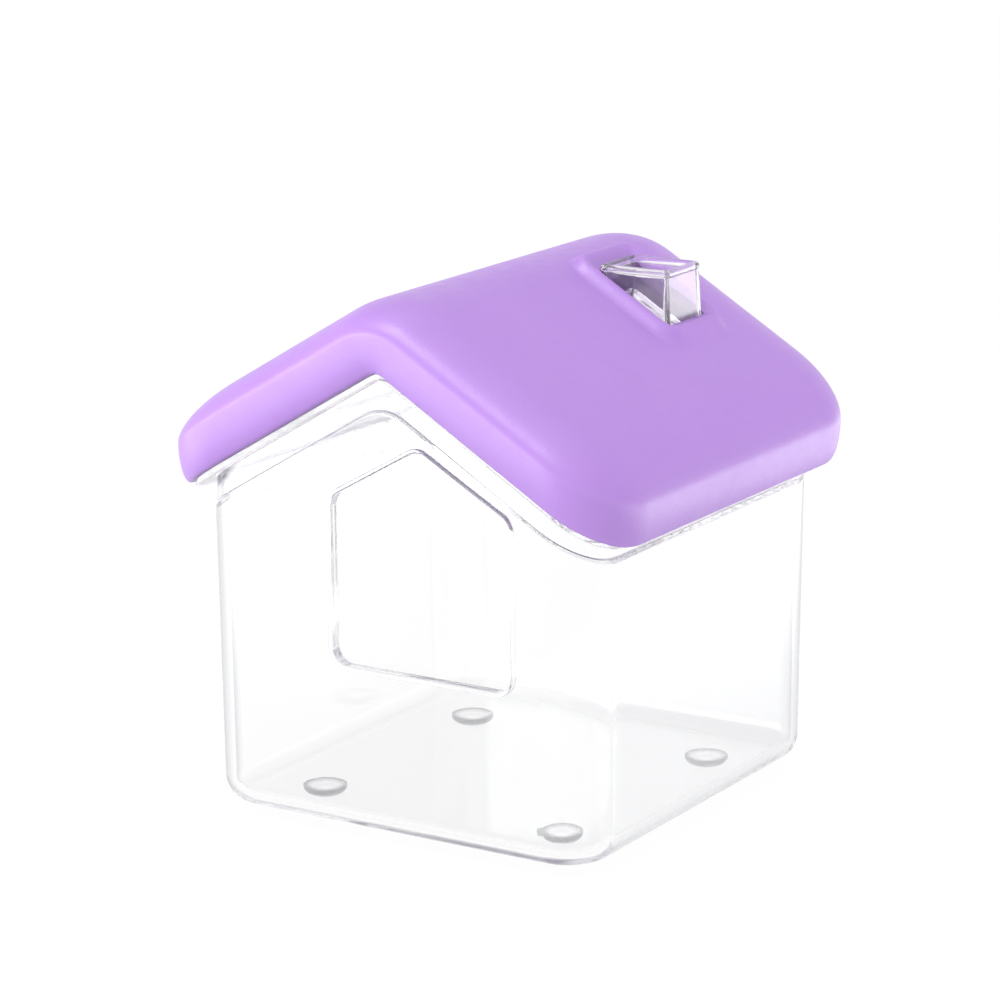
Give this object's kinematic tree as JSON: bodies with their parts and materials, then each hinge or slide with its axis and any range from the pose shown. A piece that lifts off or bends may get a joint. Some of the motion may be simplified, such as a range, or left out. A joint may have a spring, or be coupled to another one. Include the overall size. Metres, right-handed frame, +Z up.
{
  "type": "clear house-shaped box with lift-off gable roof",
  "caption": "Clear house-shaped box on round pads, with a gabled doorway and a lift-off soft-edged gable roof that carries a square clear chimney vent.",
  "frame": {"origin": "on the surface that the pads stand on, under the middle of the box", "axes": "+Z up, the gable end with the doorway faces -Y, the eaves run along Y, the chimney is on the +X slope"},
  "size_m": [0.1172, 0.1156, 0.1214],
  "materials": {
    "clear_box": "polished clear",
    "clear_liner": "polished clear",
    "clear_chimney": "polished clear",
    "foot_pad": "clear soft bumper",
    "purple_shell": "satin with a fine grain"
  },
  "bodies": {
    "base": {"box": "clear_box", "foot_front_left": "foot_pad", "foot_front_right": "foot_pad", "foot_back_left": "foot_pad", "foot_back_right": "foot_pad"},
    "roof": {"roof_liner": "clear_liner", "chimney": "clear_chimney", "roof_cover": "purple_shell"}
  },
  "joints": [
    {"name": "roof_lift", "type": "slide", "parent": "base", "child": "roof", "axis": [0, 0, 1], "range_m": [0, 0.06]}
  ]
}
